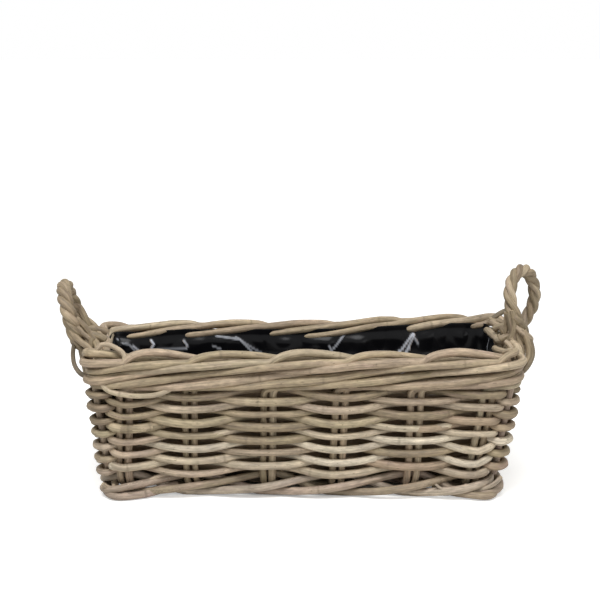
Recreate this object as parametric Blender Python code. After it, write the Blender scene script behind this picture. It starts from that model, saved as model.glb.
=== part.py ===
# A rattan planter basket: a rectangular trough woven on pairs of stakes, with a rolled border,
# a twisted foot, two loop handles and a plastic liner. Metres, +Z up, front at -Y, floor at z = 0.
#
# Every rod is a six-sided tube. Its flats face in and out of the wall, so two rods that cross lie
# flat on flat.
import math

import bmesh
import bpy
from mathutils import Vector

# Overall sizes
RIM_LENGTH = 0.506
RIM_WIDTH = 0.205
FOOT_LENGTH = 0.456
FOOT_WIDTH = 0.161
BODY_HEIGHT = 0.174
CORNER_RADIUS = 0.014  # of the line of stakes, seen from above
CLEARANCE = 0.00035  # between two rods that touch

# Rattan sizes
ROD_RADIUS = 0.0039
WEAVER_RADIUS = 0.0036
FOOT_RADIUS = 0.0049
HANDLE_RADIUS = 0.0037

# Stakes, which stand in pairs
LONG_SIDE_PAIRS = 6
END_PAIRS = 3
PAIR_GAP = 0.0024  # free gap between the two rods of a pair at the rim
CORNER_SPACING = 0.027  # from a corner post to the nearest pair, along the wall
POST_OUT = 0.004  # how far outside the line of the pairs a corner post stands
FOOT_BEND_RADIUS = 0.016
FILLERS_PER_BAY = 3  # thin floor rods between two pairs of long rods
FILLER_WIDTH_SHARE = 0.835  # a filler's width, as a share of the room that it has there
SHOULDER_RUN = 0.0012  # how far a weaver runs on flat past the pair it crosses

# Border
BORDER_STRANDS = 5
BORDER_BEND_RADIUS = 0.009
OUTWARD_SHARE = 0.75  # share of a pair's spacing over which a strand comes out of the wall
ROLL_SHARE = 1.3  # spacings that a strand takes to roll over the top
INNER_SHARE = 0.9  # spacings that it then runs down the inside
ROLL_STEPS = 4

# Weaving
WEAVER_ROWS = 13
WEAVER_END_GAP = 0.0010  # between a row's two ends, which meet behind a pair

# Liner
LINER_WALL = 0.0012
LINER_BELOW_RIM = 0.014

# Handles
HANDLE_LEG_HALF = 0.026  # half the distance between a handle's legs at the rim
HANDLE_HALF_WIDTH = 0.031
HANDLE_NECK = 0.018  # above the border's middle, where the two strands part
HANDLE_TURNS = 4
HANDLE_STEPS = 7  # for each turn
CLOSE_SHARES = {"outer": 1, "inner": 0.6}  # share of its way round the border over which a leg closes in
HANDLE_GRIP_SLACK = 0.0004  # between the twisted strands
HANDLE_END_DEPTH = 0.005  # how far the outer strand's end reaches in behind the wall
# How far a loop stands out from the stakes, its height over the border's middle, and how it leans and turns
HANDLES = {
    "left": {"stand": 0.0172, "rise": 0.075, "lean": math.radians(18.7), "turn": 0},
    "right": {"stand": 0.0217, "rise": 0.090, "lean": math.radians(-3.3), "turn": math.radians(48)},
}

# Shape of every rod
TUBE_SIDES = 6
TUBE_FLAT_SHARE = math.cos(math.pi / TUBE_SIDES)  # half width over the flats, as a share of the radius
LEAST_STEP_SHARE = 0.35  # shortest step along a tube, as a share of its radius
STRAIGHT_SHARE = 0.01  # how far off the straight line a point is worth keeping, as a share of the radius
CORNER_STEPS = 3
BEND_STEPS = 3

# Sizes that follow
ROD_FLAT = ROD_RADIUS * TUBE_FLAT_SHARE
WEAVER_FLAT = WEAVER_RADIUS * TUBE_FLAT_SHARE
FOOT_FLAT = FOOT_RADIUS * TUBE_FLAT_SHARE
BORDER_OUT = 2 * ROD_FLAT + CLEARANCE  # from the stakes to the border's outer column
STRAND_RISE = 2 * ROD_RADIUS + CLEARANCE  # how far a border strand climbs from pair to pair
SHELL = BORDER_OUT + ROD_FLAT  # from the stakes to the outer face
ROLL_HEIGHT = BODY_HEIGHT - ROD_RADIUS - BORDER_OUT  # middle of the rolled top
BORDER_START = ROLL_HEIGHT - (BORDER_STRANDS - 1) * STRAND_RISE
BASE_HEIGHT = 2 * FOOT_FLAT + CLEARANCE + ROD_FLAT  # middle of the cross rods
BASE_OVER = 2 * ROD_FLAT + CLEARANCE  # from a cross rod to a long rod that passes over it
BASE_TOP = BASE_HEIGHT + BASE_OVER + ROD_FLAT
PAIR_HALF = ROD_RADIUS + PAIR_GAP / 2
SHOULDER = PAIR_HALF + ROD_RADIUS + SHOULDER_RUN
WEAVER_OUT = ROD_FLAT + WEAVER_FLAT + CLEARANCE
POST_TURN = (ROD_RADIUS + SHOULDER_RUN) / (CORNER_RADIUS + POST_OUT)  # half a weaver's angle round a post
HANDLE_OUT = BORDER_OUT + ROD_RADIUS + CLEARANCE + HANDLE_RADIUS
UP = Vector((0, 0, 1))
# Each side as its direction along the wall and its direction outward, going round from the front.
SIDES = (
    (Vector((1, 0, 0)), Vector((0, -1, 0))),
    (Vector((0, 1, 0)), Vector((1, 0, 0))),
    (Vector((-1, 0, 0)), Vector((0, 1, 0))),
    (Vector((0, -1, 0)), Vector((-1, 0, 0))),
)


def between(low, high, share):
    return low + (high - low) * share


def half_length(z):
    return between(FOOT_LENGTH, RIM_LENGTH, z / BODY_HEIGHT) / 2 - SHELL


def half_width(z):
    return between(FOOT_WIDTH, RIM_WIDTH, z / BODY_HEIGHT) / 2 - SHELL


def straight_half(side, z):
    return (half_width(z) if side % 2 else half_length(z)) - CORNER_RADIUS


LEAN = (half_length(BODY_HEIGHT) - half_length(0)) / BODY_HEIGHT
CORNER_LEAN = LEAN * math.sqrt(2)  # of a corner post, which leans both ways
CORNER_ARC = CORNER_RADIUS * math.pi / 2
SIDE_RUNS = [2 * straight_half(side, ROLL_HEIGHT) for side in range(4)]
ROUND = sum(SIDE_RUNS) + 4 * CORNER_ARC


def side_start(side):
    return sum(SIDE_RUNS[:side]) + side * CORNER_ARC


def wall(run, z, out, shift=0):
    """The point at this run round the wall, measured at the rim from the front's left end, at this height.
    The shift moves it on along its side by the same length at every height."""
    run %= ROUND
    side = max(s for s in range(4) if side_start(s) <= run)
    along, outward = SIDES[side]
    run -= side_start(side)
    ahead, aside = straight_half(side, z), straight_half(side + 1, z)
    if run <= SIDE_RUNS[side]:
        share = 2 * run / SIDE_RUNS[side] - 1
        flat = along * (ahead * share + shift) + outward * (aside + CORNER_RADIUS + out)
    else:
        turn = (run - SIDE_RUNS[side]) / CORNER_RADIUS
        spoke = outward * math.cos(turn) + along * math.sin(turn)
        flat = along * ahead + outward * aside + spoke * (CORNER_RADIUS + out)
    return flat + UP * z


def facing(point):
    """Which way the wall or the base faces at this point."""
    x, y = straight_half(0, point.z), straight_half(1, point.z)
    core = Vector(
        (
            max(-x, min(x, point.x)),
            max(-y, min(y, point.y)),
            max(BASE_HEIGHT + FOOT_BEND_RADIUS, point.z),
        )
    )
    spoke = point - core
    return spoke - UP * (LEAN * (abs(spoke.x) + abs(spoke.y)))


def pair_runs():
    """The run of each pair of stakes, as (side, run)."""
    found = []
    for side, count in enumerate((LONG_SIDE_PAIRS, END_PAIRS) * 2):
        margin = CORNER_SPACING - CORNER_ARC / 2
        span = SIDE_RUNS[side] - 2 * margin
        for k in range(count):
            found.append((side, side_start(side) + margin + span * k / (count - 1)))
    return found


PAIRS = pair_runs()
CORNER_RUNS = [side_start(side) + SIDE_RUNS[side] + CORNER_ARC / 2 for side in range(4)]


def make_material(name, colour, roughness, coat=0.0):
    material = bpy.data.materials.new(name)
    material.use_nodes = True
    shader = material.node_tree.nodes["Principled BSDF"]
    shader.inputs["Base Color"].default_value = (*colour, 1)
    shader.inputs["Roughness"].default_value = roughness
    shader.inputs["Coat Weight"].default_value = coat
    return material


MATERIALS = {
    "stake": make_material("stake_rattan", (0.40, 0.32, 0.22), 0.62),
    "weaver": make_material("weaver_rattan", (0.45, 0.37, 0.25), 0.60),
    "foot": make_material("foot_rattan", (0.36, 0.28, 0.19), 0.66),
    "filler": make_material("filler_rattan", (0.38, 0.31, 0.21), 0.66),
    "handle": make_material("handle_rattan", (0.34, 0.28, 0.20), 0.64),
    "film": make_material("liner_film", (0.006, 0.006, 0.007), 0.16, 0.5),
}


def add_object(name, bm, material):
    mesh = bpy.data.meshes.new(name)
    bm.normal_update()
    bm.to_mesh(mesh)
    bm.free()
    mesh.materials.append(MATERIALS[material])
    mesh.shade_smooth()
    mesh.set_sharp_from_angle(angle=math.radians(75))
    obj = bpy.data.objects.new(name, mesh)
    bpy.context.scene.collection.objects.link(obj)
    return obj


def needed(points, radius):
    """The points without those that crowd the one before, or that lie on the straight line to the next."""
    kept = [points[0]]
    for point, after in zip(points[1:], points[2:]):
        step, ahead = point - kept[-1], after - kept[-1]
        off_line = (step - step.project(ahead)).length
        if step.length > radius * LEAST_STEP_SHARE and off_line > radius * STRAIGHT_SHARE:
            kept.append(point)
    return kept + [points[-1]]


def rod(name, points, radius, material, way=facing, closed=False):
    """A six-sided tube through the points, with flats towards the direction that way(point) gives. Without a
    way, the flats are carried on along the tube with no twist."""
    points = points if closed else needed(points, radius)
    count = len(points)
    bm = bmesh.new()
    rings = []
    out = UP
    for i, point in enumerate(points):
        before = points[i - 1] if i or closed else point
        after = points[(i + 1) % count] if i < count - 1 or closed else point
        tangent = ((after - point).normalized() + (point - before).normalized()).normalized()
        out = way(point) if way else out
        out = (out - tangent * out.dot(tangent)).normalized()
        side = tangent.cross(out)
        turns = [2 * math.pi * (k + 0.5) / TUBE_SIDES for k in range(TUBE_SIDES)]
        rings.append(
            [bm.verts.new(point + (out * math.cos(t) + side * math.sin(t)) * radius) for t in turns]
        )
    pairs = list(zip(rings, rings[1:] + rings[:1]))
    for ring, following in pairs if closed else pairs[:-1]:
        for k in range(TUBE_SIDES):
            j = (k + 1) % TUBE_SIDES
            bm.faces.new((ring[k], ring[j], following[j], following[k]))
    if not closed:
        bm.faces.new(rings[0][::-1])
        bm.faces.new(rings[-1])
    return add_object(name, bm, material)


def bent(start, corner, end, radius):
    """The points that turn from one straight run to the next at the corner, on an arc of this radius."""
    back, ahead = (start - corner).normalized(), (end - corner).normalized()
    angle = back.angle(ahead)
    reach = radius / math.tan(angle / 2)
    middle = corner + (back + ahead).normalized() * (radius / math.sin(angle / 2))
    first = corner + back * reach - middle
    last = corner + ahead * reach - middle
    points = []
    for k in range(BEND_STEPS + 1):
        part = k / BEND_STEPS
        sweep = math.pi - angle
        points.append(
            middle + (first * math.sin(sweep * (1 - part)) + last * math.sin(sweep * part)) / math.sin(sweep)
        )
    return points


def corner_stops(low, high):
    """The runs between these two at which a corner turns."""
    found = []
    for lap in (0, ROUND):
        for side in range(4):
            start = side_start(side) + SIDE_RUNS[side] + lap
            for k in range(CORNER_STEPS + 1):
                run = start + CORNER_ARC * k / CORNER_STEPS
                if low < run < high:
                    found.append(run)
    return sorted(found)


def strand_run(pair, phase):
    """The run of a border strand that has gone this many pairs past its own stake."""
    whole = math.floor(phase)
    runs = [
        PAIRS[(pair + step) % len(PAIRS)][1] + ROUND * ((pair + step) // len(PAIRS))
        for step in (whole, whole + 1)
    ]
    return between(*runs, phase - whole) + PAIR_HALF


def strand_point(run, phase):
    """Where a border strand is: out of the wall, up its outside, over the top and down the inside."""
    top = BORDER_STRANDS - 1
    if phase <= top:
        out = BORDER_OUT * min(1, phase / OUTWARD_SHARE)
        return wall(run, BORDER_START + STRAND_RISE * phase, out)
    roll = (phase - top) / ROLL_SHARE
    if roll <= 1:
        turn = math.pi * roll
        return wall(run, ROLL_HEIGHT + BORDER_OUT * math.sin(turn), BORDER_OUT * math.cos(turn))
    down = phase - top - ROLL_SHARE
    return wall(run, ROLL_HEIGHT - STRAND_RISE * down, -BORDER_OUT)


def border_strand(pair):
    """The part of a stake that is bent over into the border, from its own bend on."""
    top = BORDER_STRANDS - 1
    phases = [OUTWARD_SHARE, *range(1, BORDER_STRANDS)]
    phases += [top + ROLL_SHARE * k / ROLL_STEPS for k in range(1, ROLL_STEPS + 1)]
    phases.append(top + ROLL_SHARE + INNER_SHARE)
    points = [wall(PAIRS[pair][1], BORDER_START, 0, PAIR_HALF)]
    before = 0
    for phase in phases:
        low, high = strand_run(pair, before), strand_run(pair, phase)
        for run in corner_stops(low, high):
            points.append(strand_point(run, between(before, phase, (run - low) / (high - low))))
        points.append(strand_point(high, phase))
        before = phase
    return points


def rising_rod(pair, is_main):
    """The points of a rod from the foot of the wall up: bent into the border, or cut off inside it."""
    run = PAIRS[pair][1]
    if not is_main:
        return [wall(run, ROLL_HEIGHT, 0, -PAIR_HALF)]
    strand = border_strand(pair)
    foot = wall(run, BASE_HEIGHT + FOOT_BEND_RADIUS, 0, PAIR_HALF)
    return bent(foot, strand[0], strand[1], BORDER_BEND_RADIUS) + strand[1:]


def stake_rod(name, pairs, is_main, across):
    """A rod that runs up one wall, under the floor and up the opposite wall."""
    feet = [
        wall(PAIRS[pair][1], BASE_HEIGHT, 0, PAIR_HALF if main else -PAIR_HALF)
        for pair, main in zip(pairs, is_main)
    ]
    walls = [rising_rod(pair, main) for pair, main in zip(pairs, is_main)]
    inward = [across[0] if across else feet[1], across[-1] if across else feet[0]]
    bends = [
        bent(points[0], foot, Vector((near.x, near.y, foot.z)), FOOT_BEND_RADIUS)
        for points, foot, near in zip(walls, feet, inward)
    ]
    points = walls[0][::-1] + bends[0] + across + bends[1][::-1] + walls[1]
    return rod(name, points, ROD_RADIUS, "stake")


def crossing_points(y, first_sign, over):
    """The way of a long rod over and under the cross rods, from left to right."""
    points = []
    for k in range(LONG_SIDE_PAIRS):
        x = wall(PAIRS[k][1], BASE_HEIGHT, 0).x
        z = BASE_HEIGHT + over * first_sign * (-1) ** k
        points += [Vector((x - SHOULDER, y, z)), Vector((x + SHOULDER, y, z))]
    return points


def make_stakes():
    total = len(PAIRS)
    for k in range(LONG_SIDE_PAIRS):
        rear = LONG_SIDE_PAIRS + END_PAIRS + LONG_SIDE_PAIRS - 1 - k
        for main_front in (True, False):
            name = f"cross_rod_{k + 1}_{'front' if main_front else 'rear'}"
            stake_rod(name, [k, rear], [main_front, not main_front], [])
    for k in range(END_PAIRS):
        right, left = LONG_SIDE_PAIRS + k, total - 1 - k
        for main_right in (True, False):
            step = PAIR_HALF if main_right else -PAIR_HALF
            y = wall(PAIRS[right][1], BASE_HEIGHT, 0, step).y
            across = crossing_points(y, (-1) ** k, BASE_OVER)
            name = f"long_rod_{k + 1}_{'right' if main_right else 'left'}"
            stake_rod(name, [left, right], [not main_right, main_right], across)


def make_fillers():
    """Thin rods that fill the floor between the long rods, over and under the cross rods."""
    rows = [wall(PAIRS[LONG_SIDE_PAIRS + k][1], BASE_HEIGHT, 0).y for k in range(END_PAIRS)]
    edge = PAIR_HALF + ROD_RADIUS + CLEARANCE
    number = 0
    for k in range(END_PAIRS - 1):
        low, high = rows[k] + edge, rows[k + 1] - edge
        radius = FILLER_WIDTH_SHARE * (high - low) / FILLERS_PER_BAY / 2
        over = ROD_FLAT + radius * TUBE_FLAT_SHARE + CLEARANCE
        for i in range(FILLERS_PER_BAY):
            y = between(low, high, (i + 0.5) / FILLERS_PER_BAY)
            sign = (-1) ** (k + 1 + i)
            number += 1
            rod(f"base_filler_{number}", crossing_points(y, sign, over), radius, "filler")


def loop_points(half_x, half_y, corner, z, steps):
    """A rectangle with round corners, level, counter-clockwise from above."""
    points = []
    for side, (along, outward) in enumerate(SIDES):
        ahead, aside = (half_y, half_x) if side % 2 else (half_x, half_y)
        middle = along * (ahead - corner) + outward * (aside - corner) + UP * z
        for k in range(steps + 1):
            turn = math.pi / 2 * k / steps
            points.append(middle + (outward * math.cos(turn) + along * math.sin(turn)) * corner)
    return points


def foot_offset(z):
    """How far out from the line of stakes a foot strand lies, where it rests on the bent rods."""
    reach = FOOT_BEND_RADIUS * math.tan((math.pi / 2 - math.atan(LEAN)) / 2)
    middle = half_length(BASE_HEIGHT) - reach
    distance = FOOT_BEND_RADIUS + ROD_FLAT + CLEARANCE + FOOT_RADIUS
    drop = max(0, BASE_HEIGHT + FOOT_BEND_RADIUS - z)
    return middle + math.sqrt(max(0, distance**2 - drop**2)) - half_length(z)


def make_foot():
    """Three strands laid round the bottom edge, the lowest of them under the bends of the rods."""
    names = ("foot_strand_low", "foot_strand_middle", "foot_strand_top")
    height = FOOT_FLAT
    last_crossing = wall(PAIRS[LONG_SIDE_PAIRS - 1][1], BASE_HEIGHT, 0).x + SHOULDER
    low_reach = last_crossing + ROD_RADIUS + SHOULDER_RUN + FOOT_RADIUS
    for index, name in enumerate(names):
        out = foot_offset(height) if index else low_reach - half_length(height)
        corner = CORNER_RADIUS + max(0, out)
        points = loop_points(half_length(height) + out, half_width(height) + out, corner, height, BEND_STEPS)
        rod(name, points, FOOT_RADIUS, "foot", lambda point: -UP, closed=True)
        height += 2 * FOOT_FLAT + CLEARANCE
    return height - FOOT_FLAT


def hook_height():
    """Middle of the open course under the border, at the height where a handle's strand passes."""
    y = [wall(run, BORDER_START, 0).y for side, run in PAIRS if side == 1]
    behind = max(low for low in y if low < HANDLE_LEG_HALF)
    past = (HANDLE_LEG_HALF - behind) / (y[1] - y[0])
    rise = STRAND_RISE * min(past, 1 - past)
    return BORDER_START + rise - ROD_RADIUS - 2 * CLEARANCE - HANDLE_RADIUS


def make_weavers(low, high):
    """Rows that pass outside one pair and inside the next, opposite to the rows above and below."""
    pitch = (high - low) / WEAVER_ROWS
    stations = []
    for side in range(4):
        stations += [(run, False) for s, run in PAIRS if s == side]
        stations.append((CORNER_RUNS[side], True))
    rear = stations.index((PAIRS[LONG_SIDE_PAIRS + END_PAIRS + 1][1], False))
    for row in range(WEAVER_ROWS):
        z = low + pitch * (row + 0.5)
        start = rear + (rear + row) % 2 + 1 - 2 * (row // 2 % 2)
        points = []
        for step in range(len(stations) + 1):
            station = (start + step) % len(stations)
            run, is_corner = stations[station]
            out = WEAVER_OUT * (-1) ** (station + row)
            if is_corner:
                middle = CORNER_RADIUS + POST_OUT + out
                reach = (middle if out < 0 else middle / math.cos(POST_TURN)) - CORNER_RADIUS
                reach += math.copysign(CLEARANCE, out)
                points += [wall(run + CORNER_RADIUS * POST_TURN * k, z, reach) for k in (-1, 1)]
                continue
            shifts = [-SHOULDER, SHOULDER]
            if step == 0:
                shifts[0] = WEAVER_END_GAP / 2
            elif step == len(stations):
                shifts[1] = -WEAVER_END_GAP / 2
            points += [wall(run, z, out, shift) for shift in shifts]
        rod(f"weaver_row_{row + 1:02d}", points, WEAVER_RADIUS, "weaver")


def make_posts(low, high):
    names = ("front_right", "rear_right", "rear_left", "front_left")
    low += ROD_RADIUS * CORNER_LEAN
    for name, run in zip(names, CORNER_RUNS):
        points = [wall(run, low, POST_OUT), wall(run, high, POST_OUT)]
        rod(f"corner_post_{name}", points, ROD_RADIUS, "stake")


def make_liner():
    """An open bag: its outside is a leaning box, thickened inwards."""
    low, high = BASE_TOP + CLEARANCE, BODY_HEIGHT - LINER_BELOW_RIM
    inset = BORDER_OUT + ROD_FLAT + 2 * CLEARANCE
    bm = bmesh.new()
    rings = []
    for z in (low, high):
        size = half_length(z) - inset, half_width(z) - inset
        points = loop_points(*size, CORNER_RADIUS - inset, z, CORNER_STEPS)
        rings.append([bm.verts.new(point) for point in points])
    count = len(rings[0])
    for k in range(count):
        j = (k + 1) % count
        bm.faces.new((rings[0][k], rings[0][j], rings[1][j], rings[1][k]))
    bm.faces.new(rings[0][::-1])
    liner = add_object("liner", bm, "film")
    wall_of_film = liner.modifiers.new("film", "SOLIDIFY")
    wall_of_film.thickness = LINER_WALL
    wall_of_film.offset = -1
    wall_of_film.use_even_offset = True
    return liner


def handle_rope(spec, sign):
    """The two strands' points along the twisted loop, and the loop's own frame."""
    origin = Vector((sign * (half_length(ROLL_HEIGHT) + spec["stand"]), 0, ROLL_HEIGHT))
    up = Vector((sign * math.sin(spec["lean"]), 0, math.cos(spec["lean"])))
    level = Vector((0, sign, 0))
    neck_share = HANDLE_LEG_HALF / HANDLE_HALF_WIDTH
    low_turn = math.acos(neck_share)
    tall = (spec["rise"] - HANDLE_NECK) / (1 + math.sin(low_turn))
    middle = spec["rise"] - tall
    steps = HANDLE_TURNS * HANDLE_STEPS
    line, tilts = [], []
    for k in range(steps + 1):
        angle = between(-low_turn, math.pi + low_turn, k / steps)
        height = middle + tall * math.sin(angle)
        share = (height - HANDLE_NECK) / (spec["rise"] - HANDLE_NECK)
        turned = spec["turn"] * math.sin(math.pi / 2 * share)
        out = level.cross(up)
        across = level * math.cos(turned) + out * math.sin(turned)
        line.append(origin + up * height + across * (HANDLE_HALF_WIDTH * math.cos(angle)))
        tilts.append(out * math.cos(turned) - level * math.sin(turned))
    apart = HANDLE_RADIUS + CLEARANCE / 2 + HANDLE_GRIP_SLACK
    strands = [[], []]
    for k, (point, tilt) in enumerate(zip(line, tilts)):
        ahead = (line[min(k + 1, steps)] - line[max(k - 1, 0)]).normalized()
        first = (tilt - ahead * tilt.dot(ahead)).normalized()
        second = ahead.cross(first)
        twist = 2 * math.pi * HANDLE_TURNS * k / steps
        step = (first * math.cos(twist) + second * math.sin(twist)) * apart
        strands[0].append(point + step)
        strands[1].append(point - step)
    return strands


def leg_points(top, sign, target, close_share, tail):
    """The way from the loop's neck round the rolled border to its side, in a plane across the end wall."""
    y = math.copysign(HANDLE_LEG_HALF, top.y)
    out = (top.x * sign) - half_length(ROLL_HEIGHT)
    start = math.atan2(top.z - ROLL_HEIGHT, out)
    reach = math.hypot(top.z - ROLL_HEIGHT, out)
    points = []
    for k in range(1, BEND_STEPS + 1):
        part = k / BEND_STEPS
        turn = between(start, target, part)
        far = between(reach, HANDLE_OUT, min(1, part / close_share))
        x = half_length(ROLL_HEIGHT) + far * math.cos(turn)
        points.append(Vector((sign * x, between(top.y, y, part), ROLL_HEIGHT + far * math.sin(turn))))
    for height, depth in tail:
        points.append(Vector((sign * (half_length(height) + depth), y, height)))
    return points


def make_handles(hook):
    """Two twisted strands to a handle. The outer one hooks in under the border, and the inner one ends
    inside it."""
    bend = 2 * HANDLE_RADIUS
    outer_tail = [
        (hook + bend, HANDLE_OUT),
        (hook + bend / 4, HANDLE_OUT - bend / 4),
        (hook, HANDLE_OUT - bend),
        (hook, -HANDLE_END_DEPTH),
    ]
    inner_end = BODY_HEIGHT - LINER_BELOW_RIM + HANDLE_RADIUS / 4
    inner_tail = [(inner_end, -HANDLE_OUT)]
    for name, spec in HANDLES.items():
        sign = -1 if name == "left" else 1
        outer, inner = handle_rope(spec, sign)
        for label, rope, target, tail in (
            ("outer", outer, 0, outer_tail),
            ("inner", inner, math.pi, inner_tail),
        ):
            first = leg_points(rope[0], sign, target, CLOSE_SHARES[label], tail)[::-1]
            last = leg_points(rope[-1], sign, target, CLOSE_SHARES[label], tail)
            rod(f"handle_{name}_{label}_strand", first + rope + last, HANDLE_RADIUS, "handle", None)


def centre_on_origin():
    """Moves the basket along X, so that its origin is in the middle of its length over both handles."""
    ends = [vertex.co.x for obj in bpy.data.objects for vertex in obj.data.vertices]
    for obj in bpy.data.objects:
        obj.location.x = -between(min(ends), max(ends), 0.5)


def main():
    for obj in list(bpy.data.objects):
        bpy.data.objects.remove(obj, do_unlink=True)
    make_stakes()
    make_fillers()
    foot_top = make_foot()
    hook = hook_height()
    rows_top = hook - HANDLE_RADIUS - CLEARANCE
    make_weavers(foot_top, rows_top)
    make_posts(foot_top, rows_top)
    make_liner()
    make_handles(hook)
    centre_on_origin()


main()
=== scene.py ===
import random
from functools import partial
from math import acos, atan2, copysign, cos, floor, hypot, pi, radians, sin, tan

import bmesh
import bpy
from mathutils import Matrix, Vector
from mathutils.noise import noise


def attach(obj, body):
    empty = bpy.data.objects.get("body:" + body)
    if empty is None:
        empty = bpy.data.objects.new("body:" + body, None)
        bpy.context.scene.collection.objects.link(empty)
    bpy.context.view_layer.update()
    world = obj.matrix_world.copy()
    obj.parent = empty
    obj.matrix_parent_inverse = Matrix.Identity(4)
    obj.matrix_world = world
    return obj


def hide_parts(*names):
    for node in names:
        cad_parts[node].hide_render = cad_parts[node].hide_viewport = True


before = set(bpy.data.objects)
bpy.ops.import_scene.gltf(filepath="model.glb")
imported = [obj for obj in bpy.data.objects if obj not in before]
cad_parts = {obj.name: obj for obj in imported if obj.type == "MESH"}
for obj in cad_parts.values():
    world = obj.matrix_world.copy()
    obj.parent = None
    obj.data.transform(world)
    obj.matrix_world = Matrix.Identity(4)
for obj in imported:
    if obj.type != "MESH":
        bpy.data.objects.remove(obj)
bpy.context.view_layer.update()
print("frame loaded:", len(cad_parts), "nodes")

up = Vector((0, 0, 1))
draw = random.Random(20)

# The woven wall, in metres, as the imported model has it.
basket = {
    "rimLength": 0.506,
    "rimWidth": 0.205,
    "footLength": 0.456,
    "footWidth": 0.161,
    "height": 0.174,
    "cornerRadius": 0.014,
    "shell": 0.01048,  # from the line of stakes to the outer face
    "longSidePairs": 6,
    "endPairs": 3,
    "cornerSpacing": 0.027,
    "postOut": 0.004,  # how far outside the line of the pairs a corner stake stands
    "shift": 0.0030,  # along X, because the origin is in the middle of the length over both handles
    "pairHalf": 0.0053,
    "runLevel": 0.1630,  # places round the wall are measured at this height
    "rollHeight": 0.1640,  # middle of the rolled top edge
    "baseHeight": 0.0122,  # middle of the rods under the floor
}

# How the real basket departs from an even one. A pair of numbers says where a change starts and is full.
uneven = {
    "leftFlare": 0.007,  # how far the left end stands out at the foot
    "flareHeight": 0.120,
    "rearLeftReach": 0.011,  # how far the rear left corner leans out
    "reachY": (-0.06, 0.06),
    "reachLow": (0.05, 0.15),
    "reachHigh": (0.216, 0.176),
    "rearY": (0, 0.06),
    "rearRise": 0.008,  # how much higher the rear rim stands towards its right end
    "riseX": (0, 0.2),
    "rearDip": 0.003,  # how much lower it is at its left end
    "dipX": (-0.14, -0.20),
    "riseZ": (0.125, 0.155),
    "rearFlat": 0.45,  # how much flatter its rolled edge is than the front's
    "flatZ": (0.158, 0.164),
    "flatLevel": 0.1675,
    "leanLow": 0.0375,  # between these heights the front pairs drift from the first shift to the second
    "leanHigh": 0.127,
    "frontDrifts": (
        (-0.0098, 0.0030), (-0.0120, -0.0059), (-0.0029, 0.0012),
        (-0.0002, 0.0012), (0.0096, 0.0037), (0.0027, 0.0041),
    ),
}


def linear(hexText):
    # sRGB hex to the linear colour that Blender takes
    parts = [int(hexText[k:k + 2], 16) / 255 for k in (1, 3, 5)]
    return [c / 12.92 if c <= 0.04045 else ((c + 0.055) / 1.055) ** 2.4 for c in parts] + [1]


def wire(node, inputs):
    # a node or a socket is linked, anything else is the input's value
    for socket, value in inputs.items():
        if isinstance(value, bpy.types.Node):
            value = value.outputs[0]
        if isinstance(value, bpy.types.NodeSocket):
            node.id_data.links.new(value, node.inputs[socket])
        else:
            node.inputs[socket].default_value = value


def addNode(tree, kind, *values, **settings):
    # a kind is named without ShaderNode or GeometryNode; values are the inputs in their order, or one
    # dictionary of them by name
    start = next(s for s in ("ShaderNode", "GeometryNode", "") if hasattr(bpy.types, s + kind))
    node = tree.nodes.new(start + kind)
    for key, value in settings.items():
        setattr(node, key, value)
    named = values and isinstance(values[0], dict)
    wire(node, values[0] if named else dict(enumerate(values)))
    return node


def newMaterial(name):
    material = bpy.data.materials.new(name)
    material.use_nodes = True
    tree = material.node_tree
    return material, tree.nodes["Principled BSDF"], partial(addNode, tree)


def addObject(name, data):
    made = bpy.data.objects.new(name, data)
    bpy.context.scene.collection.objects.link(made)
    return made


def between(low, high, share):
    return low + (high - low) * share


def limit(value, low=0, high=1):
    return max(low, min(high, value))


def smooth(share):
    share = limit(share)
    return share * share * (3 - 2 * share)


def fade(value, start, end):
    return smooth((value - start) / (end - start))


def follow(stops, at):
    # a smooth line through (place, value) stops
    at = limit(at, stops[0][0], stops[-1][0])
    k = max(i for i in range(len(stops) - 1) if stops[i][0] <= at)
    (start, low), (end, high) = stops[k], stops[k + 1]
    before, after = stops[max(k - 1, 0)], stops[min(k + 2, len(stops) - 1)]
    wide = end - start
    first = (high - before[1]) / (end - before[0]) * wide
    last = (after[1] - low) / (after[0] - start) * wide
    t = (at - start) / wide
    rise = t * t * (3 - 2 * t)
    return between(low, high, rise) + t * (1 - t) * ((1 - t) * first - t * last)


def smoothLine(points, count):
    # a curve through the points
    stops = [[(k, p[axis]) for k, p in enumerate(points)] for axis in range(3)]
    ends = [k * (len(points) - 1) / count for k in range(count + 1)]
    return [Vector([follow(axis, at) for axis in stops]) for at in ends]


def halfLength(z):
    return between(basket["footLength"], basket["rimLength"], z / basket["height"]) / 2 - basket["shell"]


def halfWidth(z):
    return between(basket["footWidth"], basket["rimWidth"], z / basket["height"]) / 2 - basket["shell"]


def straightHalf(side, z):
    return (halfWidth(z) if side % 2 else halfLength(z)) - basket["cornerRadius"]


# Front, right, rear and left: along the side, and outward.
sides = [(Vector(along), Vector(outward)) for along, outward in (
    ((1, 0, 0), (0, -1, 0)), ((0, 1, 0), (1, 0, 0)), ((-1, 0, 0), (0, 1, 0)), ((0, -1, 0), (-1, 0, 0)),
)]
cornerArc = basket["cornerRadius"] * pi / 2
sideRuns = [2 * straightHalf(side, basket["runLevel"]) for side in range(4)]
sideStarts = [sum(sideRuns[:side]) + side * cornerArc for side in range(4)]
cornerRuns = [start + run + cornerArc / 2 for start, run in zip(sideStarts, sideRuns)]
wayRound = sum(sideRuns) + 4 * cornerArc


def sideOf(run):
    return max(s for s in range(4) if sideStarts[s] <= run % wayRound)


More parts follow.
